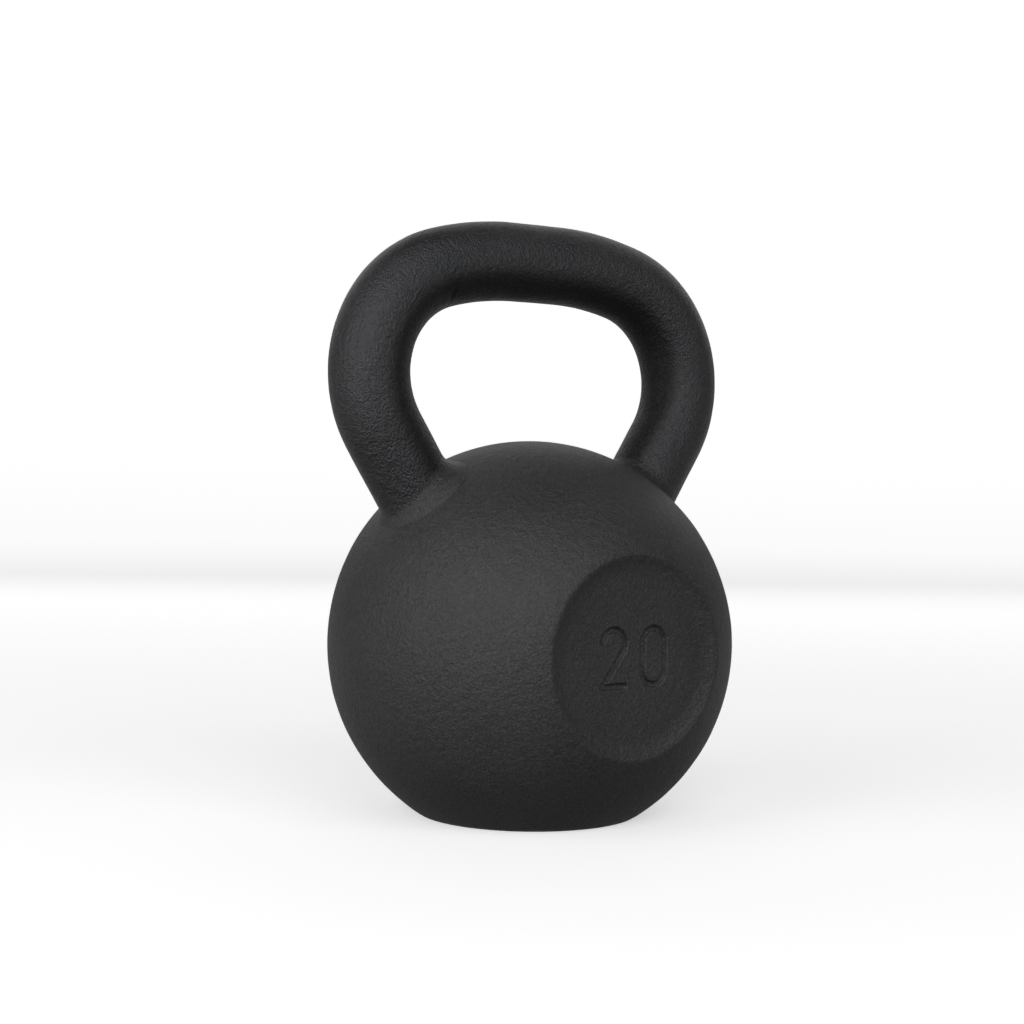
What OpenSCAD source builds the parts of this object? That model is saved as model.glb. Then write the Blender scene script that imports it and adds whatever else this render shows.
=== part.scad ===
// Kettlebell: a cored cast-iron ball, a bent steel handle spigoted into it and
// dressed with a weld collar at each root, a ballast fill and a base plug.
// Millimetres. +Z up, origin at the middle of the base, handle in the XZ plane,
// number disc facing -Y.

/* [Ball] */
// Radius of the ball
ball_r = 92; // [84:0.5:100]
// Radius of the flat that the ball stands on
base_r = 50; // [40:0.5:56]

/* [Number disc] */
// Radius of the disc's outer rim on the ball
disc_rim_r = 43.2; // [38:0.2:46]
// Radius of the disc's flat floor
disc_floor_r = 34.5; // [28:0.5:36]
// Depth of the floor behind the rim
disc_depth = 2.4; // [1.5:0.1:4]

/* [Weight figure] */
// Height of the figures
figure_h = 27; // [18:0.5:32]
// Width of each figure
figure_w = 15; // [12:0.5:18]
// Width of the strokes
figure_stroke = 3.2; // [2:0.1:4.5]
// Space between the figures
figure_gap = 6; // [4:0.5:8]
// Depth of the figures in the disc's floor
figure_depth = 1; // [0.5:0.1:2]

/* [Handle] */
// Diameter of the bar
bar_d = 35.6; // [30:0.2:40]
// Height of the bar's centreline above the middle of the ball, at the grip
grip_rise = 172.8; // [155:0.2:190]
// Half the length of the grip's straight part
grip_half = 11.5; // [6:0.5:20]
// Radius of the shallow bend on each side of the grip
crown_r = 138; // [110:1:170]
// Angle of the shallow bend
crown_angle = 16.1; // [12:0.1:20]
// Radius of the tight bend at each corner
corner_r = 48.8; // [42:0.2:56]
// Lean of each leg from the vertical, inward as it goes down
leg_lean = 32.3; // [28:0.1:36]

/* [Handle sockets] */
// Diameter of the spigot turned on each end of the bar
spigot_d = 24; // [18:0.5:28]
// Depth of each spigot under the ball's surface
spigot_depth = 18; // [12:0.5:22]
// Radial clearance of a spigot in its socket
spigot_gap = 0.1; // [0.05:0.05:0.3]
// Space left under a spigot for trapped air
socket_relief = 1; // [0.5:0.5:3]

/* [Root welds] */
// Width of the weld's toe on the ball, outside the bar
weld_reach = 7; // [4:0.5:10]
// Height of the weld up the bar
weld_rise = 8; // [4:0.5:12]
// Shift of the weld towards the window, where the fillet is larger
weld_shift = 2.4; // [0:0.2:3]
// Radius of the weld's hollow face, as a share of its width from toe to top
weld_hollow = 0.8; // [0.6:0.05:2]

/* [Core] */
// Thickness of the ball's wall round the ballast cavity
ball_wall = 27.5; // [26:0.5:36]
// Gap that the ballast leaves as it shrinks
fill_gap = 0.2; // [0.1:0.1:0.5]

/* [Base plug] */
// Diameter of the plug
plug_d = 36; // [28:0.5:44]
// Thickness of the plug
plug_t = 6; // [4:0.5:8]
// Recess of the plug above the base
plug_recess = 0.8; // [0.4:0.1:1.5]
// Radial clearance of the plug in its seat
plug_gap = 0.05; // [0.05:0.05:0.2]
// Width of the shoulder that the plug seats on
plug_shoulder = 3; // [2:0.5:5]

/* [Hidden] */
$fn = 96;
// Overrun of a cutting shape past the face it opens
cut = 1;
// Stretches of the bar run into each other by lap, and the outer one is thicker by bar_step,
// so that no two of their round surfaces coincide
lap = 0.5;
bar_step = 0.1;
// Fineness of the thin welds' curves
weld_fn = 400;
// Level width of the 2's slanting stroke, as a share of the stroke's own width
slant_share = 1.3;

// Ball: places are measured from the ball's middle, which stands at ball_z
ball_z = sqrt(pow(ball_r, 2) - pow(base_r, 2));
disc_rim_y = sqrt(pow(ball_r, 2) - pow(disc_rim_r, 2));
disc_floor_y = disc_rim_y - disc_depth;

// Handle: the right half's centreline, as [x, z] from the ball's middle
bar_r = bar_d / 2;
crown_centre = [grip_half, grip_rise - crown_r];
corner_centre = crown_centre + (crown_r - corner_r) * [sin(crown_angle), cos(crown_angle)];
leg_start = corner_centre + corner_r * [cos(leg_lean), -sin(leg_lean)];
leg_dir = [-sin(leg_lean), -cos(leg_lean)];
leg_drop = leg_start * leg_dir;
// Length of a leg's axis from the corner bend to the ball's surface
leg_length = -leg_drop - sqrt(pow(leg_drop, 2) - leg_start * leg_start + pow(ball_r, 2));
root = leg_start + leg_length * leg_dir;
// Run of a leg's full thickness into the ball, before it is coped to the ball's surface
cope_run = bar_r / 2;

// Roots: the angle of each root from the ball's vertical, and the leg's tilt from the ball's radius
root_angle = atan2(root[0], root[1]);
root_tilt = root_angle - leg_lean;
weld_angle = root_angle - asin(weld_shift / ball_r);
weld_inner_r = bar_r - abs(weld_shift - weld_rise * tan(root_tilt));
weld_toe_r = bar_r + weld_reach;
weld_top = [weld_inner_r, ball_r + weld_rise];
weld_toe = [weld_toe_r, sqrt(pow(ball_r, 2) - pow(weld_toe_r, 2))];
weld_chord = norm(weld_toe - weld_top);
weld_curve_r = weld_hollow * weld_chord;
weld_normal = [weld_top[1] - weld_toe[1], weld_toe[0] - weld_top[0]] / weld_chord;
weld_curve_centre = (weld_top + weld_toe) / 2
    + weld_normal * sqrt(pow(weld_curve_r, 2) - pow(weld_chord / 2, 2));

// Core and plug
core_r = ball_r - ball_wall;
plug_r = plug_d / 2;
neck_r = plug_r - plug_shoulder;
plug_seat_z = plug_recess + plug_t;
// Height at which the neck's straight bore has run well into the cavity
neck_top_z = ball_z - core_r / 2;

// Puts children, drawn from the ball's middle, at the ball's height above the base
module on_ball() {
    translate([0, 0, ball_z]) children();
}

// Draws children for the right side and again, mirrored, for the left
module both_sides() {
    children();
    mirror([1, 0, 0]) children();
}

// Lays children, drawn with Z as height above a disc, on the front of the ball
module facing_front() {
    rotate([90, 0, 0]) children();
}

// One bend of a bar in the XZ plane, between two angles above the X axis
module bend(centre, radius, thickness_r, from_angle, to_angle) {
    translate([centre[0], 0, centre[1]])
        rotate([90, 0, 0])
            rotate([0, 0, from_angle])
                rotate_extrude(angle = to_angle - from_angle)
                    translate([radius, 0])
                        circle(r = thickness_r);
}

// A round bar along the right leg's axis, from a little before the end of the corner bend
module leg_bar(radius, length) {
    translate([leg_start[0], 0, leg_start[1]])
        rotate([0, 180 + leg_lean, 0])
            translate([0, 0, -lap])
                cylinder(r = radius, h = length + lap);
}

// Half of the bent bar, its leg run on far enough to be coped to the ball
module half_bar() {
    crown_lap = lap / crown_r * 180 / PI;
    bend(crown_centre, crown_r, bar_r, 90 - crown_angle - crown_lap, 90 + crown_lap);
    bend(corner_centre, corner_r, bar_r + bar_step, -leg_lean, 90 - crown_angle);
    leg_bar(bar_r, leg_length + cope_run);
}

module handle_bar() color([0.10, 0.10, 0.11]) on_ball() {
    difference() {
        union() {
            translate([0, 0, grip_rise])
                rotate([0, 90, 0])
                    cylinder(r = bar_r + bar_step, h = 2 * grip_half, center = true);
            both_sides() half_bar();
        }
        sphere(r = ball_r);
    }
    both_sides() leg_bar(spigot_d / 2, leg_length + spigot_depth);
}

// Shape turned out of the ball for a number disc: a flat floor and a sloping wall up to the rim
module disc_cut() {
    facing_front()
        rotate_extrude()
            polygon([
                [0, disc_floor_y],
                [disc_floor_r, disc_floor_y],
                [disc_rim_r, disc_rim_y],
                [disc_rim_r, ball_r + cut],
                [0, ball_r + cut]
            ]);
}

// A plain upright oval, the outline of the figure 0
module oval(width, height) {
    side = height - width;
    square([width, side], center = true);
    for (end = [-1, 1])
        translate([0, end * side / 2]) circle(d = width);
}

module figure_zero() {
    difference() {
        oval(figure_w, figure_h);
        oval(figure_w - 2 * figure_stroke, figure_h - 2 * figure_stroke);
    }
}

// Half ring, slanting stroke and foot
module figure_two() {
    half_w = figure_w / 2;
    half_h = figure_h / 2;
    ring_y = half_h - half_w;
    foot_y = figure_stroke - half_h;
    translate([0, ring_y])
        difference() {
            circle(r = half_w);
            circle(r = half_w - figure_stroke);
            translate([-half_w, -figure_w]) square(figure_w);
        }
    polygon([
        [half_w - figure_stroke, ring_y],
        [half_w, ring_y],
        [figure_stroke * slant_share - half_w, foot_y],
        [-half_w, foot_y]
    ]);
    translate([-half_w, -half_h]) square([figure_w, figure_stroke]);
}

// The weight figure, sunk into the front disc's floor
module weight_figure() {
    pitch = figure_w + figure_gap;
    facing_front()
        translate([0, 0, disc_floor_y - figure_depth])
            linear_extrude(figure_depth + cut) {
                translate([-pitch / 2, 0]) figure_two();
                translate([pitch / 2, 0]) figure_zero();
            }
}

module ball_casting() color([0.11, 0.11, 0.12]) difference() {
    on_ball() sphere(r = ball_r);
    translate([0, 0, -ball_r]) cylinder(r = ball_r, h = ball_r);
    on_ball() {
        disc_cut();
        mirror([0, 1, 0]) disc_cut();
        weight_figure();
        both_sides()
            leg_bar(spigot_d / 2 + spigot_gap, leg_length + spigot_depth + socket_relief);
        sphere(r = core_r);
    }
    translate([0, 0, -cut]) cylinder(r = neck_r, h = neck_top_z + cut);
    translate([0, 0, -cut]) cylinder(r = plug_r, h = plug_seat_z + cut);
}

// A concave fillet turned about a radius of the ball, fitted to the ball and the bar
module root_weld() {
    on_ball()
        difference() {
            rotate([0, weld_angle, 0])
                rotate_extrude($fn = weld_fn)
                    difference() {
                        translate([0, weld_toe[1] - cut])
                            square([weld_toe[0], weld_top[1] - weld_toe[1] + cut]);
                        translate(weld_curve_centre) circle(r = weld_curve_r);
                    }
            sphere(r = ball_r, $fn = weld_fn);
            half_bar($fn = weld_fn);
        }
}

module right_root_weld() color([0.13, 0.13, 0.14]) root_weld();

module left_root_weld() color([0.13, 0.13, 0.14]) mirror([1, 0, 0]) root_weld();

module ballast_core() color([0.55, 0.52, 0.46]) {
    on_ball() sphere(r = core_r - fill_gap);
    translate([0, 0, plug_seat_z + fill_gap])
        cylinder(r = neck_r - fill_gap, h = neck_top_z - plug_seat_z);
}

module base_plug() color([0.16, 0.16, 0.17]) {
    translate([0, 0, plug_recess])
        cylinder(r = plug_r - plug_gap, h = plug_t);
}

ball_casting();
handle_bar();
left_root_weld();
right_root_weld();
ballast_core();
base_plug();
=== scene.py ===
"""Looks of the kettlebell: a powder-coated bell on a pale studio floor.

Shapes are drawn in millimetres from the middle of the ball, and placed in the row frame in metres.
"""
import math

import bpy
import numpy as np
from mathutils import Matrix, Vector, noise


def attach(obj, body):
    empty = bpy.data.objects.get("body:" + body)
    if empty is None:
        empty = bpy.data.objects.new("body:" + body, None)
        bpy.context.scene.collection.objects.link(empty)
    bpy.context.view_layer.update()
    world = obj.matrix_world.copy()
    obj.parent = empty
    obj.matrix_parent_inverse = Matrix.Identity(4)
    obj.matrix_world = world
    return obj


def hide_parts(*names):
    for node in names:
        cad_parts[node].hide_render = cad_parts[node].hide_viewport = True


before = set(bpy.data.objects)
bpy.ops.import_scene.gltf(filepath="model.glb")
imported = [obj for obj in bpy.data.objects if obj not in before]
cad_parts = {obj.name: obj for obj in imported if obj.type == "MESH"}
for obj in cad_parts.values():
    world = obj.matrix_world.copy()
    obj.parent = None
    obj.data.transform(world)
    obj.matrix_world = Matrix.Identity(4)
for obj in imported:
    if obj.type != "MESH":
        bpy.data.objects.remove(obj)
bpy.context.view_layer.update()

MM = 0.001
BODY = "root"

# Ball and base
BALL_R = 92.0
BASE_R = 50.0
BALL_Z = math.sqrt(BALL_R**2 - BASE_R**2)
PLUG_R = 18.0
PLUG_SEAT = 6.8

# Number disc
DISC_RIM_R = 43.2
DISC_FLOOR_R = 34.5
DISC_DEPTH = 2.4
WALL_CURVE = 1.9
RIM_ROUNDING = 0.25
RIM_WIDTH = 1.3
FIGURE_H = 27.0
FIGURE_W = 15.0
FIGURE_STROKE = 3.2
FIGURE_GAP = 6.0
FIGURE_DEPTH = 1.5
FIGURE_REACH = 26.0
LIP_HEIGHT = 0.05

# Handle
BAR_R = 17.8
GRIP_RISE = 172.8
GRIP_HALF = 11.5
CROWN_R = 138.0
CROWN_ANGLE = math.radians(16.1)
CORNER_R = 48.8
LEG_LEAN = math.radians(32.3)
SPIGOT_R = 12.0
SPIGOT_DEPTH = 18.0
SUNK = 7.0
NICK_AT = -55.0
NICK_ANGLE = math.radians(125)
NICK_DEPTH = 0.45

# Root welds
WELD_STEPS = 30
WELD_HOLLOW = 6.2
WINDOW_HOLLOW = 1.2
LEFT_FRONT_HOLLOW = 3.4
RIGHT_FRONT_HOLLOW = 2.0

# Coat: sizes of its noise, and how far above the ball its tone changes
CLOUD_SCALE = 22
PEEL_SCALE = 330
GRAIN_SCALE = 1000
LIFT_START = 1.0
LIFT_END = 9.0
BALL_TONE = 0.026
WELD_TONE = 0.019
BAR_TONE = 0.008
# Specular level on the bar's window side, lowered there as painted shade
PAINTED_SHADE_SHINE = 0.28
RUBBED = (0.16, 0.15, 0.135)


# ---------------------------------------------------------------- mesh helpers

def new_piece(name, points, faces, replaced):
    """A smooth mesh piece from points in mm about the ball's middle, riding on the body."""
    mesh = bpy.data.meshes.new(name)
    placed = np.asarray(points, float) * MM + np.array([0, 0, BALL_Z * MM])
    mesh.from_pydata(placed.tolist(), [], faces)
    mesh.validate()
    piece = bpy.data.objects.new(name, mesh)
    bpy.context.scene.collection.objects.link(piece)
    mesh.polygons.foreach_set("use_smooth", [True] * len(mesh.polygons))
    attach(piece, BODY)
    for node in replaced:
        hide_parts(node)
    return piece


def ring_faces(start, count, next_start, next_count):
    """Faces between two closed rings of points, whose counts are equal or two to one."""
    faces = []
    if count == next_count:
        for i in range(count):
            j = (i + 1) % count
            faces.append((start + i, start + j, next_start + j, next_start + i))
    else:
        for i in range(next_count):
            j = (i + 1) % next_count
            first, middle, last = 2 * i, 2 * i + 1, (2 * i + 2) % count
            faces.append((start + first, start + middle, next_start + i))
            faces.append((start + middle, next_start + j, next_start + i))
            faces.append((start + middle, start + last, next_start + j))
    return faces


def skin(rings, closed_ends=True):
    """Points and faces of a skin over a list of rings; each end is closed with one middle point."""
    points, faces, starts = [], [], []
    for ring in rings:
        starts.append(len(points))
        points.extend(ring.tolist())
    for k in range(len(rings) - 1):
        faces += ring_faces(starts[k], len(rings[k]), starts[k + 1], len(rings[k + 1]))
    if closed_ends:
        for k, flip in ((0, True), (len(rings) - 1, False)):
            middle = len(points)
            points.append(rings[k].mean(axis=0).tolist())
            n = len(rings[k])
            for i in range(n):
                a, b = starts[k] + i, starts[k] + (i + 1) % n
                faces.append((b, a, middle) if flip else (a, b, middle))
    return points, faces


def smoothstep(low, high, value):
    """0 below low, 1 above high, and an even S between."""
    t = np.clip((value - low) / (high - low), 0.0, 1.0)
    return t * t * (3.0 - 2.0 * t)


def rough(points, wavelength, seed, octaves=2):
    """Smooth noise of about -1 to 1 at each point; wavelength is in the points' own units."""
    shift = Vector((seed * 13.7, seed * 7.1, seed * 3.3))
    return np.array([
        noise.fractal(Vector(p) / wavelength + shift, 1.0, 2.0, octaves) for p in points
    ])


# ---------------------------------------------------------------- ball

def disc_y(rho):
    """How far forward the ball's front reaches at each distance rho from the disc's middle."""
    ball = np.sqrt(np.maximum(BALL_R**2 - rho**2, 0.0))
    rim_y = math.sqrt(BALL_R**2 - DISC_RIM_R**2)
    u = np.clip((DISC_RIM_R - rho) / (DISC_RIM_R - DISC_FLOOR_R), 0.0, 1.0)
    wall = 1 - (1 - u) ** WALL_CURVE
    sharp = np.where(rho > DISC_RIM_R, ball, rim_y - DISC_DEPTH * wall)
    return sharp - RIM_ROUNDING * np.exp(-(((rho - DISC_RIM_R) / RIM_WIDTH) ** 2))


def arc_points(centre, radius, start, end, count):
    """Points along an arc between two angles in degrees."""
    a = np.radians(np.linspace(start, end, count))
    return np.stack([centre[0] + radius * np.cos(a), centre[1] + radius * np.sin(a)], axis=1)


def figure_two():
    """Centreline of the figure 2: a hooked arc, a slanting stroke and a foot."""
    half_w = (FIGURE_W - FIGURE_STROKE) / 2
    half_h = (FIGURE_H - FIGURE_STROKE) / 2
    bow = arc_points((0, half_h - half_w), half_w, 168, -32, 26)
    foot = np.array([[-half_w, -half_h], [half_w, -half_h]])
    return np.concatenate([bow, foot])


def figure_zero():
    """Centreline of the figure 0: two half rings joined by straight sides."""
    half_w = (FIGURE_W - FIGURE_STROKE) / 2
    half_h = (FIGURE_H - FIGURE_STROKE) / 2
    top = arc_points((0, half_h - half_w), half_w, 0, 180, 24)
    bottom = arc_points((0, half_w - half_h), half_w, 180, 360, 24)
    return np.concatenate([top, bottom, top[:1]])


def distance_to_path(places, path):
    """Distance from each place to the nearest point of a path of straight steps."""
    nearest = np.full(len(places), 1e9)
    for a, b in zip(path[:-1], path[1:]):
        step = b - a
        along = np.clip(((places - a) @ step) / (step @ step), 0.0, 1.0)
        gap = np.linalg.norm(places - (a + along[:, None] * step), axis=1)
        nearest = np.minimum(nearest, gap)
    return nearest


def figure_cut(x, z):
    """Depth of the sunk weight figure at each place on the front disc, with a soft lip."""
    places = np.stack([x, z], axis=1)
    pitch = FIGURE_W + FIGURE_GAP
    gap = np.minimum(
        distance_to_path(places, figure_two() + [-pitch / 2, 0]),
        distance_to_path(places, figure_zero() + [pitch / 2, 0]),
    )
    edge = FIGURE_STROKE / 2
    groove = FIGURE_DEPTH * (1 - smoothstep(edge - 0.9, edge + 0.05, gap))
    lip = LIP_HEIGHT * np.exp(-(((gap - edge - 0.6) / 0.4) ** 2))
    return groove - lip


def ball_rings():
    """Rings of the ball about the Y axis, from the front disc's middle to the rear one's.

    The rings are finest under the weight figure.
    """
    fine, coarse = 560, 280
    rim_angle = math.asin(DISC_RIM_R / BALL_R)
    profile = []
    for rho in np.arange(0.35, FIGURE_REACH, 0.35):
        profile.append((fine, rho, -1))
    for rho in np.arange(FIGURE_REACH + 0.4, DISC_RIM_R - 0.1, 0.5):
        profile.append((coarse, rho, -1))
    profile.append((coarse, DISC_RIM_R, -1))
    sides = 132
    for k in range(1, sides):
        angle = rim_angle + (math.pi - 2 * rim_angle) * k / sides
        side = -1 if angle < math.pi / 2 else 1
        profile.append((coarse, BALL_R * math.sin(angle), side))
    profile.append((coarse, DISC_RIM_R, 1))
    for rho in np.arange(DISC_RIM_R - 1.0, 0.5, -1.6):
        profile.append((coarse, rho, 1))
    rings = []
    for count, rho, side in profile:
        a = np.arange(count) * 2 * math.pi / count
        x, z = rho * np.cos(a), rho * np.sin(a)
        y = side * disc_y(np.full(count, rho))
        if side < 0 and rho < FIGURE_REACH:
            y = y + figure_cut(x, z)
        rings.append(np.stack([x, y, z], axis=1))
    return rings


def cast_surface(points):
    """Moves points along the ball's radius, as a sand mould leaves them, inside the CAD's depth."""
    outward = points / np.linalg.norm(points, axis=1)[:, None]
    swell = 0.22 * rough(points, 38.0, 1, 1) + 0.07 * rough(points, 11.0, 2, 2)
    inside_disc = np.hypot(points[:, 0], points[:, 2]) < DISC_RIM_R - 2
    swell[inside_disc] = 0.5 * swell[inside_disc] - 0.1
    moved = points + outward * (swell + 0.1)[:, None]
    reach = math.sqrt(BALL_R**2 - DISC_RIM_R**2) - 0.02
    moved[:, 1] = np.clip(moved[:, 1], -reach, reach)
    return moved


def flatten_base(points):
    """Cuts the base flat with a crisp rim, and opens the seat of the base plug."""
    out = points.copy()
    base = -BALL_Z
    near_rim = np.abs(out[:, 2] - base) < 0.9
    to_rim = BASE_R / np.maximum(np.hypot(out[:, 0], out[:, 1]), 1e-6)
    out[near_rim, 0] *= to_rim[near_rim]
    out[near_rim, 1] *= to_rim[near_rim]
    out[near_rim, 2] = base
    out[out[:, 2] < base, 2] = base
    from_axis = np.hypot(out[:, 0], out[:, 1])
    on_base = np.abs(out[:, 2] - base) < 1e-6
    near_seat = 1.1
    seat = on_base & (np.abs(from_axis - PLUG_R) < near_seat)
    out[seat, 0] *= PLUG_R / from_axis[seat]
    out[seat, 1] *= PLUG_R / from_axis[seat]
    inside = on_base & (from_axis < PLUG_R - near_seat)
    out[inside, 2] = base + PLUG_SEAT + 0.4
    return out


def make_ball():
    rings = [flatten_base(cast_surface(r)) for r in ball_rings()]
    points, faces = skin(rings)
    return new_piece("ball", points, faces, ["ball_casting"])


# ---------------------------------------------------------------- handle

CROWN_CENTRE = np.array([GRIP_HALF, GRIP_RISE - CROWN_R])
CORNER_CENTRE = CROWN_CENTRE + (CROWN_R - CORNER_R) * np.array(
    [math.sin(CROWN_ANGLE), math.cos(CROWN_ANGLE)]
)
LEG_START = CORNER_CENTRE + CORNER_R * np.array([math.cos(LEG_LEAN), -math.sin(LEG_LEAN)])
LEG_DIR = np.array([-math.sin(LEG_LEAN), -math.cos(LEG_LEAN)])
LEG_DROP = float(LEG_START @ LEG_DIR)
LEG_LENGTH = -LEG_DROP - math.sqrt(LEG_DROP**2 - LEG_START @ LEG_START + BALL_R**2)
ROOT = LEG_START + LEG_LENGTH * LEG_DIR
CORNER_TURN = math.pi / 2 - CROWN_ANGLE + LEG_LEAN
CROWN_END = GRIP_HALF + CROWN_R * CROWN_ANGLE
CORNER_END = CROWN_END + CORNER_R * CORNER_TURN
ROOT_AT = CORNER_END + LEG_LENGTH


def centreline(s):
    """Place and direction, in the XZ plane, at a distance s from the grip's middle to the right."""
    if s < GRIP_HALF:
        return np.array([s, GRIP_RISE]), np.array([1.0, 0.0])
    if s < CROWN_END:
        a = (s - GRIP_HALF) / CROWN_R
        return CROWN_CENTRE + CROWN_R * np.array([math.sin(a), math.cos(a)]), np.array(
            [math.cos(a), -math.sin(a)]
        )
    if s < CORNER_END:
        a = CROWN_ANGLE + (s - CROWN_END) / CORNER_R
        return CORNER_CENTRE + CORNER_R * np.array([math.sin(a), math.cos(a)]), np.array(
            [math.cos(a), -math.sin(a)]
        )
    return LEG_START + (s - CORNER_END) * LEG_DIR, LEG_DIR


def nick_depth(s, a):
    """Depth of the casting nick under the left end of the grip, slanting across the bar."""
    along_bar = s - NICK_AT
    around_bar = BAR_R * (a - NICK_ANGLE)
    along = 0.83 * around_bar - 0.56 * along_bar
    across = 0.56 * around_bar + 0.83 * along_bar
    return NICK_DEPTH * np.exp(-((across / 0.9) ** 2) - (along / 5.5) ** 4)


def window_side(s, a):
    """1 on the side of the bar that faces the window, where its shine is lowered as painted shade,
    and 0 outside.
    """
    edge = 0.20 + 0.52 * s / ROOT_AT
    return smoothstep(edge, edge + 0.42 - 0.19 * s / ROOT_AT, -np.cos(a))


def make_handle():
    around = 150
    reach = ROOT_AT + SUNK
    stations = np.linspace(-reach, reach, 430)
    a = np.arange(around) * 2 * math.pi / around
    rings, outs = [], []
    for s in stations:
        place, way = centreline(abs(s))
        side = 1.0 if s >= 0 else -1.0
        middle = np.array([side * place[0], 0.0, place[1]])
        outward = np.array([side * -way[1], 0.0, way[0]])
        normal = np.cos(a)[:, None] * outward + np.sin(a)[:, None] * np.array([0.0, -1.0, 0.0])
        rings.append(middle + BAR_R * normal)
        outs.append(normal)
    points = np.concatenate(rings)
    normals = np.concatenate(outs)
    along, turned = np.repeat(stations, around), np.tile(a, len(stations))
    swell = 0.10 * rough(points, 34.0, 4, 1) + 0.07 * rough(points, 9.0, 5, 2)
    swell -= nick_depth(along, turned)
    points = points + normals * (swell - 0.06)[:, None]
    rings = list(points.reshape(len(stations), around, 3))
    for end, step in ((0, -1), (len(stations) - 1, 1)):
        _, way = centreline(abs(stations[end]))
        inward = np.array([step * way[0], 0.0, way[1]])
        middle = rings[end].mean(axis=0)
        neck = middle + (rings[end] - middle) * (SPIGOT_R / BAR_R)
        tip = neck + inward * (SPIGOT_DEPTH - SUNK)
        if step > 0:
            rings += [neck, tip]
        else:
            rings = [tip, neck] + rings
    points, faces = skin(rings)
    handle = new_piece("handle", points, faces, ["handle_bar"])
    # Mask of the bar's window side, where a lower shine paints shade
    painted_shade = np.zeros(len(handle.data.vertices), np.float32)
    first = 2 * around
    painted_shade[first:first + len(normals)] = window_side(along, turned)
    handle.data.attributes.new("window_side", "FLOAT", "POINT").data.foreach_set("value", painted_shade)
    return handle


# ---------------------------------------------------------------- root welds

def weld_profile(theta, mirror):
    """One section of the right weld, or with mirror of the left one before it is mirrored.

    theta runs round the bar from the window by way of the front. The hollow face is an arc that
    touches the bar and the ball, raised by a bead, and its last four points close it underneath.
    """
    down = np.array([LEG_DIR[0], 0.0, LEG_DIR[1]])
    window = np.array([-math.cos(LEG_LEAN), 0.0, math.sin(LEG_LEAN)])
    front = np.array([0.0, -1.0, 0.0])
    out = math.cos(theta) * window + math.sin(theta) * front
    frontness = max(0.0, math.sin(theta))
    front_hollow = LEFT_FRONT_HOLLOW if mirror else RIGHT_FRONT_HOLLOW
    hollow = WELD_HOLLOW + WINDOW_HOLLOW * math.cos(theta) + front_hollow * frontness
    root = np.array([ROOT[0], 0.0, ROOT[1]])
    start = root + (BAR_R + hollow) * out
    along = start @ down
    up = along + math.sqrt(along**2 - start @ start + (BALL_R + hollow) ** 2)
    centre = start - up * down
    to_bar = -out
    to_ball = -centre / np.linalg.norm(centre)
    turn = math.acos(float(np.clip(to_bar @ to_ball, -1, 1)))
    bead = (0.35 + 1.5 * frontness**2) if mirror else (0.35 + 0.6 * frontness)
    section = []
    for k in range(WELD_STEPS + 1):
        u = k / WELD_STEPS
        d = (math.sin((1 - u) * turn) * to_bar + math.sin(u * turn) * to_ball) / math.sin(turn)
        lift = bead * math.sin(math.pi * u**1.35) ** 1.2
        section.append(centre + d * (hollow - lift))
    bar_toe, ball_toe = section[0], section[-1]
    away = ball_toe - (root @ ball_toe) / (root @ root) * root
    away /= np.linalg.norm(away)
    ball_dip = ball_toe + away * 3.0
    ball_dip *= (BALL_R - 0.55) / np.linalg.norm(ball_dip)
    bar_dip = bar_toe - down * 3.0 - out * 0.5
    ball_deep = ball_toe * (BALL_R - 4.0) / BALL_R
    bar_deep = bar_toe - out * 4.0
    return np.array(section + [ball_dip, ball_deep, bar_deep, bar_dip])


def make_weld(name, replaced, mirror):
    around = 260
    sections = np.array([weld_profile(2 * math.pi * k / around, mirror) for k in range(around)])
    if mirror:
        sections[:, :, 0] *= -1
    count = sections.shape[1]
    flat = sections.reshape(-1, 3)
    lumps = 0.18 * rough(flat, 8.0, 6, 2) + 0.13 * rough(flat, 3.5, 7, 2)
    outward = flat / np.linalg.norm(flat, axis=1)[:, None]
    face = np.tile(np.arange(count) <= WELD_STEPS, around)
    flat = flat + outward * np.where(face, lumps, 0.0)[:, None]
    faces = []
    for i in range(around):
        j = (i + 1) % around
        for k in range(count):
            m = (k + 1) % count
            faces.append((i * count + k, i * count + m, j * count + m, j * count + k))
    if mirror:
        faces = [f[::-1] for f in faces]
    return new_piece(name, flat, faces, [replaced])


# ---------------------------------------------------------------- materials

def node_material(name):
    material = bpy.data.materials.new(name)
    material.use_nodes = True
    return material, material.node_tree.nodes, material.node_tree.links


def add_noise(nodes, links, coordinates, scale, detail, roughness=0.5):
    texture = nodes.new("ShaderNodeTexNoise")
    texture.inputs["Scale"].default_value = scale
    texture.inputs["Detail"].default_value = detail
    texture.inputs["Roughness"].default_value = roughness
    links.new(coordinates, texture.inputs["Vector"])
    return texture.outputs["Fac"]


def add_ramp(nodes, links, value, stops):
    ramp = nodes.new("ShaderNodeValToRGB")
    elements = ramp.color_ramp.elements
    elements[0].position, elements[0].color = stops[0][0], (*stops[0][1], 1)
    elements[1].position, elements[1].color = stops[-1][0], (*stops[-1][1], 1)
    for position, colour in stops[1:-1]:
        elements.new(position).color = (*colour, 1)
    links.new(value, ramp.inputs["Fac"])
    return ramp.outputs["Color"]


def add_bump(nodes, links, height, distance, strength, under=None):
    bump = nodes.new("ShaderNodeBump")
    bump.inputs["Distance"].default_value = distance
    bump.inputs["Strength"].default_value = strength
    links.new(height, bump.inputs["Height"])
    if under is not None:
        links.new(under, bump.inputs["Normal"])
    return bump.outputs["Normal"]


def grey(value, cool=0.0):
    """A grey, with its blue raised by the share cool."""
    return (value, value, value * (1 + cool))


def add_product(nodes, links, first, second):
    product = nodes.new("ShaderNodeVectorMath")
    product.operation = "MULTIPLY"
    links.new(first, product.inputs[0])
    links.new(second, product.inputs[1])
    return product.outputs["Vector"]


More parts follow.
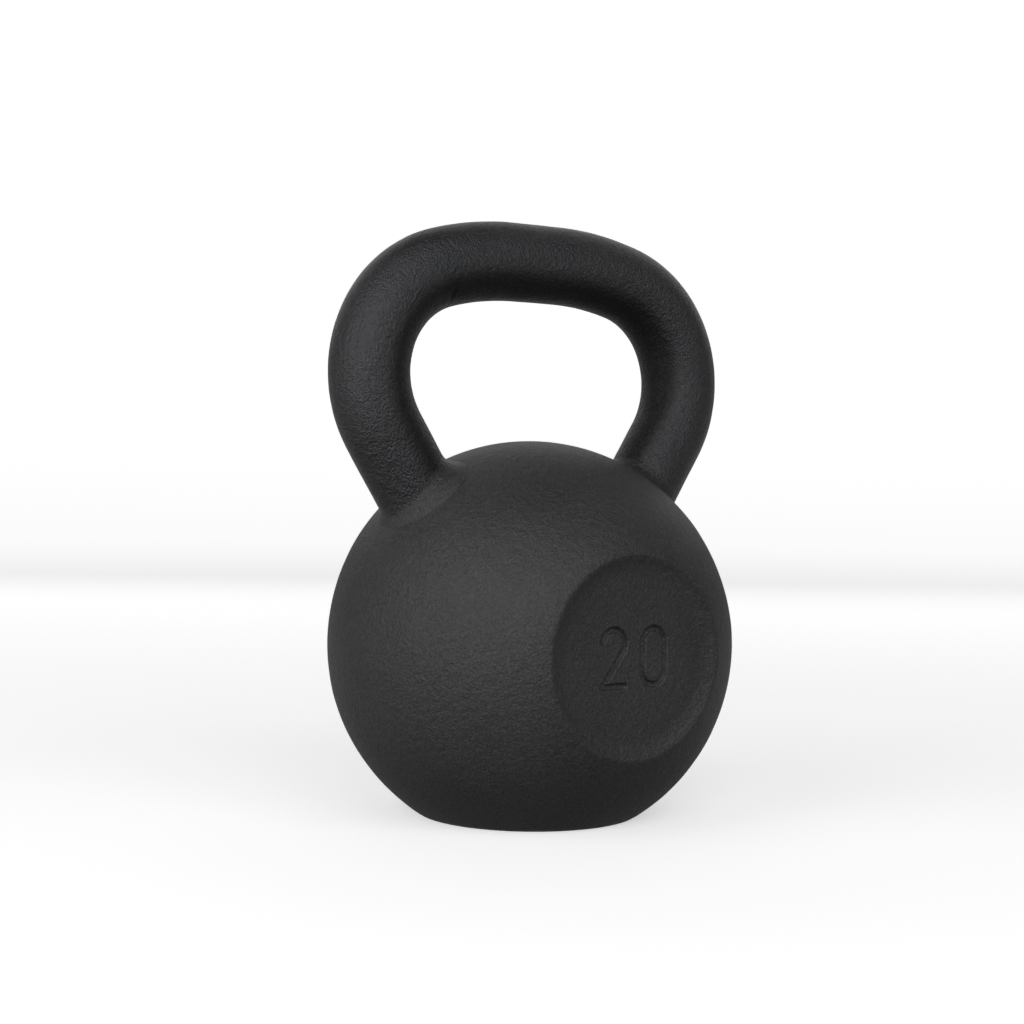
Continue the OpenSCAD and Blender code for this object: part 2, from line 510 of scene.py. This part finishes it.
def add_mix(nodes, links, factor, low, colour):
    mix = nodes.new("ShaderNodeMix")
    mix.data_type = "RGBA"
    mix.inputs["B"].default_value = (*colour, 1)
    links.new(factor, mix.inputs["Factor"])
    links.new(low, mix.inputs["A"])
    return mix.outputs["Result"]


def range_map(nodes, links, value, low, high, to_low=0.0, to_high=1.0):
    """Value run from low to high, as to_low to to_high, and held at the ends."""
    mapped = nodes.new("ShaderNodeMapRange")
    mapped.inputs["From Min"].default_value = low
    mapped.inputs["From Max"].default_value = high
    mapped.inputs["To Min"].default_value = to_low
    mapped.inputs["To Max"].default_value = to_high
    links.new(value, mapped.inputs["Value"])
    return mapped.outputs["Result"]


def edge_wear(nodes, links, place):
    """1 on the base and its rim, where the coat is rubbed thin on the floor, and 0 above them."""
    apart = nodes.new("ShaderNodeSeparateXYZ")
    links.new(place, apart.inputs["Vector"])
    low = range_map(nodes, links, apart.outputs["Z"], 1.2 * MM, 0.3 * MM)
    patchy = add_ramp(nodes, links, add_noise(nodes, links, place, 95, 4), [
        (0.36, (0, 0, 0)), (0.56, (1, 1, 1)),
    ])
    worn = nodes.new("ShaderNodeMath")
    worn.operation = "MULTIPLY"
    links.new(low, worn.inputs[0])
    links.new(patchy, worn.inputs[1])
    return worn.outputs["Value"]


def coat_lift(nodes, links, place):
    """0 on the ball and 1 on the bar, with an even change up the root welds."""
    apart = nodes.new("ShaderNodeVectorMath")
    apart.operation = "DISTANCE"
    apart.inputs[1].default_value = (0, 0, BALL_Z * MM)
    links.new(place, apart.inputs[0])
    low, high = (BALL_R + LIFT_START) * MM, (BALL_R + LIFT_END) * MM
    return range_map(nodes, links, apart.outputs["Value"], low, high)


def add_painted_shade_side(nodes, links, shader):
    """Goes over to a coat with less shine, with the same colour and grain, on the bar's window
    side, as painted shade there.
    """
    painted_shade = nodes.new("ShaderNodeBsdfPrincipled")
    for socket in ("Base Color", "Roughness", "Normal"):
        links.new(shader.inputs[socket].links[0].from_socket, painted_shade.inputs[socket])
    painted_shade.inputs["Specular IOR Level"].default_value = PAINTED_SHADE_SHINE
    side = nodes.new("ShaderNodeAttribute")
    side.attribute_name = "window_side"
    mix = nodes.new("ShaderNodeMixShader")
    links.new(side.outputs["Fac"], mix.inputs[0])
    links.new(shader.outputs["BSDF"], mix.inputs[1])
    links.new(painted_shade.outputs["BSDF"], mix.inputs[2])
    links.new(mix.outputs["Shader"], nodes["Material Output"].inputs["Surface"])


def powder_coat(name, shine, peel_depth, grain_depth, glint=(1.0, 1.0, 1.0), painted_shade_side=False):
    """Fine-textured black powder coat, darker and glossier on the bar and rubbed thin at the base.

    shine is the specular level, glint its tint, and the two depths are those of its bumps in mm.
    The last switch lowers the shine on the bar's window side as painted shade.
    """
    material, nodes, links = node_material(name)
    shader = nodes["Principled BSDF"]
    place = nodes.new("ShaderNodeTexCoord").outputs["Object"]
    cloud = add_noise(nodes, links, place, CLOUD_SCALE, 3)
    peel = add_noise(nodes, links, place, PEEL_SCALE, 2)
    fine = add_noise(nodes, links, place, GRAIN_SCALE, 3, 0.6)
    lift = coat_lift(nodes, links, place)
    tone = add_ramp(nodes, links, lift, [
        (0.0, grey(BALL_TONE)), (0.35, grey(WELD_TONE, 0.04)), (1.0, grey(BAR_TONE, 0.10)),
    ])
    clouds = add_ramp(nodes, links, cloud, [(0.3, grey(0.84)), (0.7, grey(1.16))])
    specks = add_ramp(nodes, links, fine, [(0.42, grey(1.0)), (0.7, grey(2.0))])
    tint = add_product(nodes, links, add_product(nodes, links, tone, clouds), specks)
    tint = add_mix(nodes, links, edge_wear(nodes, links, place), tint, RUBBED)
    links.new(tint, shader.inputs["Base Color"])
    gloss = add_ramp(nodes, links, cloud, [(0.3, grey(0.95)), (0.7, grey(1.05))])
    level = add_ramp(nodes, links, lift, [(0.0, grey(0.50)), (1.0, grey(0.32))])
    links.new(add_product(nodes, links, gloss, level), shader.inputs["Roughness"])
    under = add_bump(nodes, links, peel, peel_depth * MM, 0.8)
    normal = add_bump(nodes, links, fine, grain_depth * MM, 1.0, under)
    links.new(normal, shader.inputs["Normal"])
    shader.inputs["Specular IOR Level"].default_value = shine
    shader.inputs["Specular Tint"].default_value = (*glint, 1)
    # Painted shade: a coat with less shine on the bar's window side
    if painted_shade_side:
        add_painted_shade_side(nodes, links, shader)
    return material


def ballast_material():
    """Mineral grit set in resin."""
    material, nodes, links = node_material("ballast_grit")
    shader = nodes["Principled BSDF"]
    place = nodes.new("ShaderNodeTexCoord").outputs["Object"]
    grains = nodes.new("ShaderNodeTexVoronoi")
    grains.inputs["Scale"].default_value = 450
    links.new(place, grains.inputs["Vector"])
    colour = add_ramp(nodes, links, grains.outputs["Distance"], [
        (0.0, (0.52, 0.48, 0.41)), (0.5, (0.38, 0.34, 0.29)), (1.0, (0.16, 0.14, 0.12)),
    ])
    links.new(colour, shader.inputs["Base Color"])
    shader.inputs["Roughness"].default_value = 0.85
    normal = add_bump(nodes, links, grains.outputs["Distance"], 0.0008, 0.8)
    links.new(normal, shader.inputs["Normal"])
    return material


def floor_material():
    material, nodes, links = node_material("studio_floor")
    shader = nodes["Principled BSDF"]
    shader.inputs["Base Color"].default_value = (0.8, 0.8, 0.8, 1)
    shader.inputs["Roughness"].default_value = 0.9
    shader.inputs["Specular IOR Level"].default_value = 0.1
    place = nodes.new("ShaderNodeTexCoord").outputs["Object"]
    far = nodes.new("ShaderNodeVectorMath")
    far.operation = "LENGTH"
    links.new(place, far.inputs[0])
    glow = nodes.new("ShaderNodeMapRange")
    glow.inputs["From Min"].default_value = 0.3
    glow.inputs["From Max"].default_value = 2.8
    glow.inputs["To Min"].default_value = 0.55
    glow.inputs["To Max"].default_value = 0.85
    links.new(far.outputs["Value"], glow.inputs["Value"])
    shader.inputs["Emission Color"].default_value = (1, 1, 1, 1)
    links.new(glow.outputs["Result"], shader.inputs["Emission Strength"])
    return material


def dress(piece, material):
    piece.data.materials.clear()
    piece.data.materials.append(material)


# ---------------------------------------------------------------- studio

def make_floor():
    """A round floor that curves up into a pale wall, the same from every side.

    It throws no light on the bell, as if it were flagged; make_world lights the bell from below.
    """
    floor_r, bend_r, wall_top, around = 2600.0, 900.0, 4000.0, 96
    outline = [(floor_r + bend_r, wall_top)]
    for k in range(12, -1, -1):
        turn = math.pi / 2 * k / 12
        outline.append((floor_r + bend_r * math.sin(turn), bend_r * (1 - math.cos(turn))))
    outline.append((400.0, 0.0))
    a = np.arange(around) * 2 * math.pi / around
    rings = [
        np.stack([rho * np.cos(a), rho * np.sin(a), np.full(around, z)], axis=1)
        for rho, z in outline
    ]
    points, faces = skin(rings, closed_ends=False)
    faces.append(tuple(range(len(points) - around, len(points))))
    mesh = bpy.data.meshes.new("studio_floor")
    mesh.from_pydata((np.array(points) * MM).tolist(), [], faces)
    floor = bpy.data.objects.new("studio_floor", mesh)
    bpy.context.scene.collection.objects.link(floor)
    mesh.polygons.foreach_set("use_smooth", [True] * len(mesh.polygons))
    dress(floor, floor_material())
    floor.visible_diffuse = False
    floor.visible_glossy = False
    floor.visible_shadow = False


CAMERA_YAW = math.radians(-33.5)
CAMERA_TILT = math.radians(0.97)
CAMERA_ROLL = math.radians(-0.73)
CAMERA_BACK = 0.7999
CAMERA_SIDE = -0.0079
CAMERA_RISE = 0.0596
CAMERA_LENS = 61.36


def camera_axes():
    right = Vector((math.cos(CAMERA_YAW), math.sin(CAMERA_YAW), 0))
    back = Vector((
        math.sin(CAMERA_YAW) * math.cos(CAMERA_TILT),
        -math.cos(CAMERA_YAW) * math.cos(CAMERA_TILT),
        math.sin(CAMERA_TILT),
    ))
    up = back.cross(right)
    c, s = math.cos(CAMERA_ROLL), math.sin(CAMERA_ROLL)
    return c * right - s * up, s * right + c * up, back


def make_camera():
    right, up, back = camera_axes()
    data = bpy.data.cameras.new("camera")
    data.sensor_width = 36.0
    data.lens = CAMERA_LENS
    camera = bpy.data.objects.new("camera", data)
    bpy.context.scene.collection.objects.link(camera)
    ball_middle = Vector((0, 0, BALL_Z * MM))
    place = ball_middle + back * CAMERA_BACK + up * CAMERA_RISE + right * CAMERA_SIDE
    turn = Matrix((right, up, back)).transposed().to_4x4()
    camera.matrix_world = Matrix.Translation(place) @ turn
    bpy.context.scene.camera = camera


def make_light(name, azimuth, elevation, distance, width, height, power):
    """A soft box aimed at the bell; azimuth 0 is in front of the number disc."""
    a, e = math.radians(azimuth), math.radians(elevation)
    way = Vector((math.sin(a) * math.cos(e), -math.cos(a) * math.cos(e), math.sin(e)))
    data = bpy.data.lights.new(name, "AREA")
    data.shape = "RECTANGLE"
    data.size, data.size_y = width, height
    data.energy = power
    light = bpy.data.objects.new(name, data)
    bpy.context.scene.collection.objects.link(light)
    light.location = Vector((0, 0, 0.13)) + way * distance
    light.rotation_euler = way.to_track_quat("Z", "Y").to_euler()
    light.visible_camera = False


def make_world():
    """Faint studio ambience, brightest just below the horizon, where a pale set reflects."""
    world = bpy.data.worlds.new("studio")
    world.use_nodes = True
    nodes, links = world.node_tree.nodes, world.node_tree.links
    way = nodes.new("ShaderNodeTexCoord").outputs["Generated"]
    apart = nodes.new("ShaderNodeSeparateXYZ")
    links.new(way, apart.inputs["Vector"])
    level = nodes.new("ShaderNodeMapRange")
    level.inputs["From Min"].default_value = -1.0
    level.inputs["From Max"].default_value = 1.0
    links.new(apart.outputs["Z"], level.inputs["Value"])
    tint = add_ramp(nodes, links, level.outputs["Result"], [
        (0.0, (0.12,) * 3), (0.28, (0.16,) * 3), (0.40, (0.40,) * 3),
        (0.48, (0.38,) * 3), (0.56, (0.08,) * 3), (1.0, (0.08,) * 3),
    ])
    links.new(tint, nodes["Background"].inputs["Color"])
    bpy.context.scene.world = world


def make_lights():
    """Soft boxes, chosen so that the bell is shaded as it is in a plain product picture."""
    make_light("front_bank", -60, 17, 1.6, 1.9, 0.6, 9.8)
    make_light("left", -91, 38, 1.6, 0.9, 0.8, 3.6)
    make_light("left_low", -98, -6, 1.6, 0.8, 0.7, 2.0)
    make_light("right", -6, 36, 1.6, 1.6, 0.8, 8.8)
    make_light("back", 146, 29, 1.6, 2.6, 1.0, 6.0)
    make_world()
    bpy.context.scene.view_settings.view_transform = "Standard"


# ---------------------------------------------------------------- the bell

def main():
    ball = make_ball()
    handle = make_handle()
    left_weld = make_weld("left_weld", "left_root_weld", True)
    right_weld = make_weld("right_weld", "right_root_weld", False)
    dress(ball, powder_coat("ball_coat", 0.50, 0.70, 0.50))
    # The handle's last switch paints shade on its window side as a lower shine
    dress(handle, powder_coat("handle_coat", 0.80, 0.70, 0.85, (0.96, 0.97, 1.0), True))
    for weld in (left_weld, right_weld):
        dress(weld, powder_coat(weld.name + "_coat", 0.58, 0.85, 0.80))
    dress(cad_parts["base_plug"], powder_coat("plug_coat", 0.50, 0.55, 0.35))
    dress(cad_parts["ballast_core"], ballast_material())
    make_floor()
    make_camera()
    make_lights()


main()
